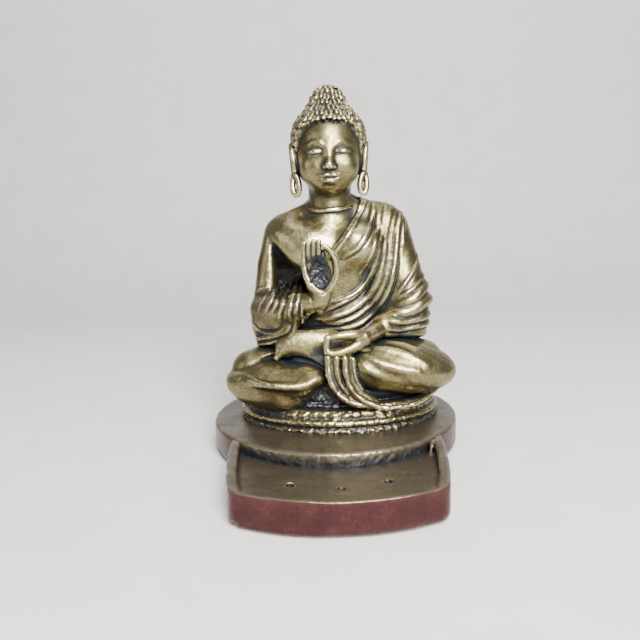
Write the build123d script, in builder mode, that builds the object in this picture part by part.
"""Seated statue on a round plinth with an incense tray in front, as an assembly of cast pieces.

The castings are bonded on dowels, and one screw from below clamps the figure, the seat and the
plinth together.  Millimetres, +Z up.  The origin is on the ground under the middle of the round
plinth, and the figure faces -Y.  Heights here are measured from a datum inside the base, and
finish() lifts every piece by base_depth, which puts the ground at zero.
"""

import os
from math import atan, cos, hypot, sin, tau

from build123d import *

# ---------------------------------------------------------------- driving dimensions
total_height = 150.0  # above the datum
base_depth = 2.7  # from the datum down to the ground

felt_thickness = 0.8
felt_inset = 3.0
plinth_radius = 52.8
plinth_top = 10.5
plinth_wall = 5.0
plinth_roof = 4.0
boss_radius = 9.0

tray_back_half_width = 41.5
tray_back_y = -33.0
tray_corner = (36.1, -83.2)
tray_front_y = -92.7
tray_side_bow = 1.2
tray_rim = 3.9
recess_depth = 5.3
stick_hole_radius = 1.4
stick_hole_depth = 6.0
stick_hole_places = ((-16.2, -75.5), (1.0, -80.0), (17.0, -73.7))

seat_half_width = 44.0
seat_half_depth = 31.0
seat_top = 19.5
bead_radius = 1.7
bead_count = 44

lap_top = 42.0
neck_seam = 95.0

glue_gap = 0.05
underside = felt_thickness - base_depth
dowel_radius = 2.5
wrist_dowel_radius = 1.1
tray_dowel_radius = 1.5
screw_radius = 2.0
screw_head_radius = 3.8
screw_head_height = 2.2
insert_radius = 3.2
insert_length = 8.0
washer_radius = 6.0
washer_thickness = 1.0


def lofted(sections, plane_at):
    """A smooth body through ellipses: each section is (station, across, up, r_across, r_up)."""
    with BuildPart() as body:
        for station, across, up, r_across, r_up in sections:
            with BuildSketch(plane_at(station)):
                with Locations((across, up)):
                    Ellipse(r_across, r_up)
        loft()
    return body.part


def level(height):
    """A level plane at a height."""
    return Plane.XY.offset(height)


def crosswise(x):
    """A plane across the X axis, whose own x runs along +Y and whose own y runs up."""
    return Plane.YZ.offset(x)


def limb(*stations):
    """A tapering round limb with a ball at every joint: (centre, radius) pairs."""
    with BuildPart() as body:
        for (start, r_start), (end, r_end) in zip(stations, stations[1:]):
            along = Vector(*end) - Vector(*start)
            with BuildSketch(Plane(origin=start, z_dir=along)):
                Circle(r_start)
            with BuildSketch(Plane(origin=end, z_dir=along)):
                Circle(r_end)
            loft()
        for centre, radius in stations:
            with Locations(centre):
                Sphere(radius)
    return body.part


def finish(builder, name):
    """Labels a finished piece and writes its STEP file."""
    piece = builder.part.moved(Location((0, 0, base_depth)))
    piece.label = name
    export_step(piece, f"parts/{name}.step")


# ---------------------------------------------------------------- plinth
# A round shell, open below, with a boss round the screw.
with BuildPart() as plinth:
    with BuildSketch(level(underside)):
        Circle(plinth_radius)
    extrude(amount=plinth_top - underside)
    fillet(plinth.edges().group_by(Axis.Z)[-1], radius=0.8)
    chamfer(plinth.edges().group_by(Axis.Z)[0], length=0.8)
    with BuildSketch(level(underside)):
        Circle(plinth_radius - plinth_wall)
        Circle(boss_radius, mode=Mode.SUBTRACT)
    extrude(amount=plinth_top - plinth_roof - underside, mode=Mode.SUBTRACT)

# ---------------------------------------------------------------- incense tray
corner_x, corner_y = tray_corner
front_sagitta = corner_y - tray_front_y
front_arc_radius = (corner_x**2 + front_sagitta**2) / (2 * front_sagitta)
front_arc_y = tray_front_y + front_arc_radius
floor_slope = recess_depth / (front_arc_radius - (plinth_radius + front_arc_y))
floor_angle = atan(floor_slope)
side_middle = ((tray_back_half_width + corner_x) / 2 + tray_side_bow, (tray_back_y + corner_y) / 2)


def tray_outline(side_inset, front_inset):
    """The tray's outline, moved in at the sides and the front, running back under the plinth."""
    x_back = tray_back_half_width - side_inset
    x_front = corner_x - side_inset
    x_side = side_middle[0] - side_inset
    y_corner = corner_y + front_inset
    with BuildLine() as outline:
        ThreePointArc((-x_front, y_corner), (0, tray_front_y + front_inset), (x_front, y_corner))
        ThreePointArc((x_front, y_corner), (x_side, side_middle[1]), (x_back, tray_back_y))
        Line((x_back, tray_back_y), (-x_back, tray_back_y))
        ThreePointArc((-x_back, tray_back_y), (-x_side, side_middle[1]), (-x_front, y_corner))
    return make_face(outline.edges())


def floor_height(radius):
    """The height of the tray's floor, which rises to the front edge as a shallow cone."""
    return plinth_top - floor_slope * (front_arc_radius - radius)


cone_inside = 20.0
cone_outside = front_arc_radius + 8.0
with BuildPart() as recess:
    with BuildSketch(Plane(origin=(0, front_arc_y, 0), x_dir=(0, -1, 0), z_dir=(-1, 0, 0))):
        with BuildLine():
            Polyline(
                (cone_inside, floor_height(cone_inside)),
                (cone_outside, floor_height(cone_outside)),
                (cone_outside, 3 * plinth_top),
                (cone_inside, 3 * plinth_top),
                close=True,
            )
        make_face()
    revolve(axis=Axis((0, front_arc_y, 0), (0, 0, 1)))
    with BuildSketch():
        add(tray_outline(tray_rim, -6.0))
    extrude(amount=3 * plinth_top, mode=Mode.INTERSECT)

with BuildPart() as incense_tray:
    with BuildSketch(level(underside)):
        add(tray_outline(0, 0))
        Circle(plinth_radius + glue_gap, mode=Mode.SUBTRACT)
    extrude(amount=plinth_top - underside)
    fillet(incense_tray.edges().filter_by(Axis.Z).group_by(Axis.Y)[0], radius=2.0)
    add(recess.part, mode=Mode.SUBTRACT)
    for hole_x, hole_y in stick_hole_places:
        mouth = (hole_x, hole_y, floor_height(hypot(hole_x, hole_y - front_arc_y)))
        leaning = (0, sin(floor_angle), cos(floor_angle))
        with BuildSketch(Plane(origin=mouth, z_dir=leaning)):
            Circle(stick_hole_radius)
        extrude(amount=-stick_hole_depth, mode=Mode.SUBTRACT)
        with BuildSketch(Plane(origin=mouth, z_dir=leaning)):
            Circle(stick_hole_radius)
        extrude(amount=1.0, mode=Mode.SUBTRACT)

# Two dowels hold the tray's back to the plinth's front.
tray_dowel_x = 24.0
tray_dowel_z = 1.8
tray_dowel_length = 8.0
tray_joint_y = -((plinth_radius**2 - tray_dowel_x**2) ** 0.5)
with BuildPart() as tray_dowels:
    with BuildSketch(Plane.XZ.offset(-tray_joint_y - tray_dowel_length / 2)):
        with Locations((-tray_dowel_x, tray_dowel_z), (tray_dowel_x, tray_dowel_z)):
            Circle(tray_dowel_radius)
    extrude(amount=tray_dowel_length)

with BuildPart() as tray_dowel_holes:
    with BuildSketch(Plane.XZ.offset(-tray_joint_y - tray_dowel_length / 2 - glue_gap)):
        with Locations((-tray_dowel_x, tray_dowel_z), (tray_dowel_x, tray_dowel_z)):
            Circle(tray_dowel_radius + glue_gap)
    extrude(amount=tray_dowel_length + 2 * glue_gap)

with plinth:
    add(tray_dowel_holes.part, mode=Mode.SUBTRACT)
with incense_tray:
    add(tray_dowel_holes.part, mode=Mode.SUBTRACT)

# ---------------------------------------------------------------- lotus seat
bead_ring_z = seat_top - bead_radius
bead_points = [
    (
        (seat_half_width - 3.4) * cos(tau * i / bead_count),
        (seat_half_depth - 3.4) * sin(tau * i / bead_count),
        bead_ring_z,
    )
    for i in range(bead_count)
]
with BuildPart() as lotus_seat:
    with BuildSketch(level(plinth_top)):
        Ellipse(seat_half_width, seat_half_depth)
    extrude(amount=3.2)
    with BuildSketch(level(plinth_top)):
        Ellipse(seat_half_width - 2.0, seat_half_depth - 2.0)
    extrude(amount=4.2)
    with BuildSketch(level(plinth_top)):
        Ellipse(seat_half_width - 1.2, seat_half_depth - 1.2)
        Ellipse(seat_half_width - 8.0, seat_half_depth - 8.0, mode=Mode.SUBTRACT)
    extrude(amount=5.6)
    with BuildSketch(level(plinth_top)):
        Ellipse(seat_half_width - 3.6, seat_half_depth - 3.6)
    extrude(amount=seat_top - plinth_top)
    with Locations(*bead_points):
        Sphere(bead_radius)
    with BuildSketch(level(seat_top)):
        Ellipse(2 * seat_half_width, 2 * seat_half_depth)
    extrude(amount=4 * bead_radius, mode=Mode.SUBTRACT)

# ---------------------------------------------------------------- crossed legs
# Two pods, one for each folded leg, and the lap between them.
right_leg = (
    (-46.0, -15.0, 31.0, 4.0, 4.5),
    (-42.0, -15.0, 31.0, 10.0, 9.0),
    (-34.0, -14.0, 31.5, 15.0, 11.0),
    (-22.0, -12.0, 31.0, 18.0, 11.5),
    (-8.0, -11.0, 30.0, 19.0, 10.5),
    (0.0, -11.0, 30.0, 18.0, 10.0),
)
left_leg = (
    (0.0, -11.0, 30.0, 18.0, 10.0),
    (8.0, -11.5, 30.5, 19.0, 11.0),
    (22.0, -12.5, 31.5, 18.5, 12.5),
    (35.0, -14.0, 32.0, 15.5, 12.0),
    (44.5, -15.0, 32.0, 10.0, 9.5),
    (49.0, -15.0, 32.0, 4.0, 4.5),
)
lap = (
    (seat_top, 0.0, -3.0, 36.0, 24.0),
    (30.0, 0.0, -2.0, 38.0, 26.0),
    (38.0, 0.0, 1.0, 32.0, 22.0),
    (lap_top + 2.0, 0.0, 2.0, 24.0, 17.0),
)
with BuildPart() as crossed_legs:
    add(lofted(right_leg, crosswise))
    add(lofted(left_leg, crosswise))
    add(lofted(lap, level))
    with BuildSketch(level(seat_top)):
        Ellipse(2 * seat_half_width, 2 * seat_half_depth)
    extrude(amount=-2 * seat_top, mode=Mode.SUBTRACT)
    with BuildSketch(level(lap_top)):
        with Locations((0, 3)):
            Ellipse(27.0, 19.0)
    extrude(amount=seat_top, mode=Mode.SUBTRACT)

# ---------------------------------------------------------------- torso with both sleeved arms
trunk = (
    (lap_top, 0.0, 3.0, 25.0, 16.0),
    (54.0, 0.0, 2.0, 24.0, 15.0),
    (68.0, 0.0, 1.0, 25.5, 15.0),
    (82.0, 0.0, 1.5, 27.0, 15.0),
    (90.0, 0.0, 2.5, 24.0, 12.5),
    (neck_seam, 0.0, 3.0, 15.0, 10.5),
)
right_sleeve_end = (-9.5, -18.5, 58.5)
left_sleeve_end = (18.0, -16.0, 52.0)
with BuildPart() as torso:
    add(lofted(trunk, level))
    add(limb(((-22, 2, 87), 9.0), ((-27, -3, 60), 7.5), (right_sleeve_end, 6.5)))
    add(limb(((24, 2, 87), 10.0), ((32, -4, 58), 8.5), (left_sleeve_end, 6.5)))
    with BuildSketch(level(neck_seam)):
        Ellipse(2 * seat_half_width, 2 * seat_half_depth)
    extrude(amount=seat_top, mode=Mode.SUBTRACT)
    add(crossed_legs.part, mode=Mode.SUBTRACT)

# ---------------------------------------------------------------- head
skull = (
    (neck_seam, 0.0, 3.0, 9.4, 9.0),
    (102.0, 0.0, 2.5, 9.2, 9.5),
    (107.0, 0.0, -0.5, 10.5, 12.0),
    (114.0, 0.0, 0.0, 12.6, 14.5),
    (124.0, 0.0, 1.5, 14.2, 16.0),
    (133.0, 0.0, 2.5, 13.6, 15.0),
    (140.0, 0.0, 3.5, 9.6, 10.5),
    (145.0, 0.0, 4.0, 7.0, 7.4),
    (148.5, 0.0, 4.0, 4.2, 4.4),
    (total_height, 0.0, 4.0, 1.6, 1.6),
)
with BuildPart() as head:
    add(lofted(skull, level))
    for ear_inside in (-15.6, 9.6):
        with BuildSketch(crosswise(ear_inside)):
            with Locations(Location((3.0, 112.5), 4)):
                Ellipse(3.4, 12.0)
        extrude(amount=6.0)


# ---------------------------------------------------------------- hands
def fingers(first, step, reach, radius, lengths):
    """Four tapering fingers side by side, the first knuckle at first and the next a step on."""
    with BuildPart() as hand:
        for index, length in enumerate(lengths):
            knuckle = Vector(*first) + Vector(*step) * index
            add(limb((knuckle, radius), (knuckle + Vector(*reach) * length, radius * 0.8)))
    return hand.part


right_wrist = (-5.5, -21.5, 63.5)
left_wrist = (11.0, -21.0, 48.5)

# Raised hand, palm to the front.
with BuildPart() as right_hand:
    add(limb((right_sleeve_end, 4.4), (right_wrist, 3.6)))
    with BuildSketch(Plane.XZ.offset(18.4)):
        with Locations((-5.5, 69.5)):
            RectangleRounded(11.0, 13.0, 3.5)
    extrude(amount=4.2)
    add(fingers((-9.6, -20.4, 75.0), (2.6, 0, 0.6), (0.05, 0.05, 1.0), 1.5, (7, 9.5, 10.5, 4.5)))
    add(limb(((-1.5, -21.0, 66.0), 2.2), ((2.2, -22.5, 74.0), 1.8), ((-1.5, -23.0, 79.0), 1.4)))
    add(torso.part, mode=Mode.SUBTRACT)

# Hand resting in the lap, palm up.
with BuildPart() as left_hand:
    add(limb((left_sleeve_end, 5.0), (left_wrist, 4.0)))
    with BuildSketch(level(43.6)):
        with Locations((5.0, -22.5)):
            RectangleRounded(12.0, 11.0, 3.5)
    extrude(amount=4.4)
    add(fingers((0.5, -26.5, 45.4), (0, 2.7, 0), (-1.0, -0.1, 0.05), 1.5, (3, 5, 6, 5)))
    add(limb(((8.0, -25.0, 48.5), 2.0), ((1.0, -25.0, 50.0), 1.7), ((-3.5, -25.0, 47.5), 1.4)))
    add(torso.part, mode=Mode.SUBTRACT)
    add(crossed_legs.part, mode=Mode.SUBTRACT)

# ---------------------------------------------------------------- dowels between the castings
neck_dowel_length = 16.0
with BuildPart() as neck_dowel:
    with BuildSketch(level(neck_seam - neck_dowel_length / 2)):
        with Locations((0, 3)):
            Circle(dowel_radius)
    extrude(amount=neck_dowel_length)

waist_dowel_x = 13.0
waist_dowel_length = 14.0
with BuildPart() as waist_dowels:
    with BuildSketch(level(lap_top - waist_dowel_length / 2)):
        with Locations((-waist_dowel_x, 3), (waist_dowel_x, 3)):
            Circle(dowel_radius)
    extrude(amount=waist_dowel_length)

wrist_dowel_length = 9.0
wrist_axes = ((right_sleeve_end, right_wrist), (left_sleeve_end, left_wrist))
with BuildPart() as wrist_dowels:
    for sleeve_end, wrist in wrist_axes:
        along = Vector(*wrist) - Vector(*sleeve_end)
        with BuildSketch(Plane(origin=sleeve_end, z_dir=along)):
            Circle(wrist_dowel_radius)
        extrude(amount=wrist_dowel_length / 2, both=True)

for dowels, owners in (
    (neck_dowel, (head, torso)),
    (waist_dowels, (torso, crossed_legs)),
    (wrist_dowels, (torso, right_hand, left_hand)),
):
    with BuildPart() as dowel_holes:
        add(dowels.part)
        offset(amount=glue_gap)
    for owner in owners:
        with owner:
            add(dowel_holes.part, mode=Mode.SUBTRACT)

# ---------------------------------------------------------------- centre screw, washer and insert
screw_seat_z = underside + 2.4
washer_top_z = screw_seat_z + washer_thickness
insert_bottom_z = seat_top + 0.5
screw_tip_z = insert_bottom_z + insert_length - 1.0

with BuildPart() as base_washer:
    with BuildSketch(level(screw_seat_z)):
        Circle(washer_radius)
        Circle(screw_radius + 0.2, mode=Mode.SUBTRACT)
    extrude(amount=washer_thickness)

with BuildPart() as base_screw:
    with BuildSketch(level(screw_seat_z - screw_head_height)):
        Circle(screw_head_radius)
    extrude(amount=screw_head_height)
    fillet(base_screw.edges().group_by(Axis.Z)[0], radius=0.8)
    with BuildSketch(level(screw_seat_z - screw_head_height)):
        Rectangle(4.6, 1.0)
        Rectangle(1.0, 4.6)
    extrude(amount=1.4, mode=Mode.SUBTRACT)
    with BuildSketch(level(screw_seat_z)):
        Circle(screw_radius)
    extrude(amount=screw_tip_z - screw_seat_z)
    chamfer(base_screw.edges().group_by(Axis.Z)[-1], length=0.5)

with BuildPart() as threaded_insert:
    with BuildSketch(level(insert_bottom_z)):
        Circle(insert_radius)
        Circle(screw_radius + glue_gap, mode=Mode.SUBTRACT)
    extrude(amount=insert_length)

with plinth:
    with BuildSketch(level(underside)):
        Circle(washer_radius + 0.3)
    extrude(amount=washer_top_z - underside, mode=Mode.SUBTRACT)
    with BuildSketch(level(underside)):
        Circle(screw_radius + 0.3)
    extrude(amount=2 * plinth_top, mode=Mode.SUBTRACT)
with lotus_seat:
    with BuildSketch(level(plinth_top)):
        Circle(screw_radius + 0.3)
    extrude(amount=seat_top, mode=Mode.SUBTRACT)
with crossed_legs:
    with BuildSketch(level(seat_top)):
        Circle(insert_radius + glue_gap)
    extrude(amount=insert_bottom_z + insert_length + glue_gap - seat_top, mode=Mode.SUBTRACT)

# ---------------------------------------------------------------- felt under the base
with BuildPart() as base_felt:
    with BuildSketch(level(-base_depth)):
        Circle(plinth_radius - felt_inset)
        add(tray_outline(felt_inset, felt_inset))
    extrude(amount=felt_thickness)

# ---------------------------------------------------------------- output
pieces = {
    "plinth": plinth,
    "incense_tray": incense_tray,
    "tray_dowels": tray_dowels,
    "lotus_seat": lotus_seat,
    "crossed_legs": crossed_legs,
    "torso": torso,
    "head": head,
    "right_hand": right_hand,
    "left_hand": left_hand,
    "neck_dowel": neck_dowel,
    "waist_dowels": waist_dowels,
    "wrist_dowels": wrist_dowels,
    "base_washer": base_washer,
    "base_screw": base_screw,
    "threaded_insert": threaded_insert,
    "base_felt": base_felt,
}
os.makedirs("parts", exist_ok=True)
for name, builder in pieces.items():
    finish(builder, name)
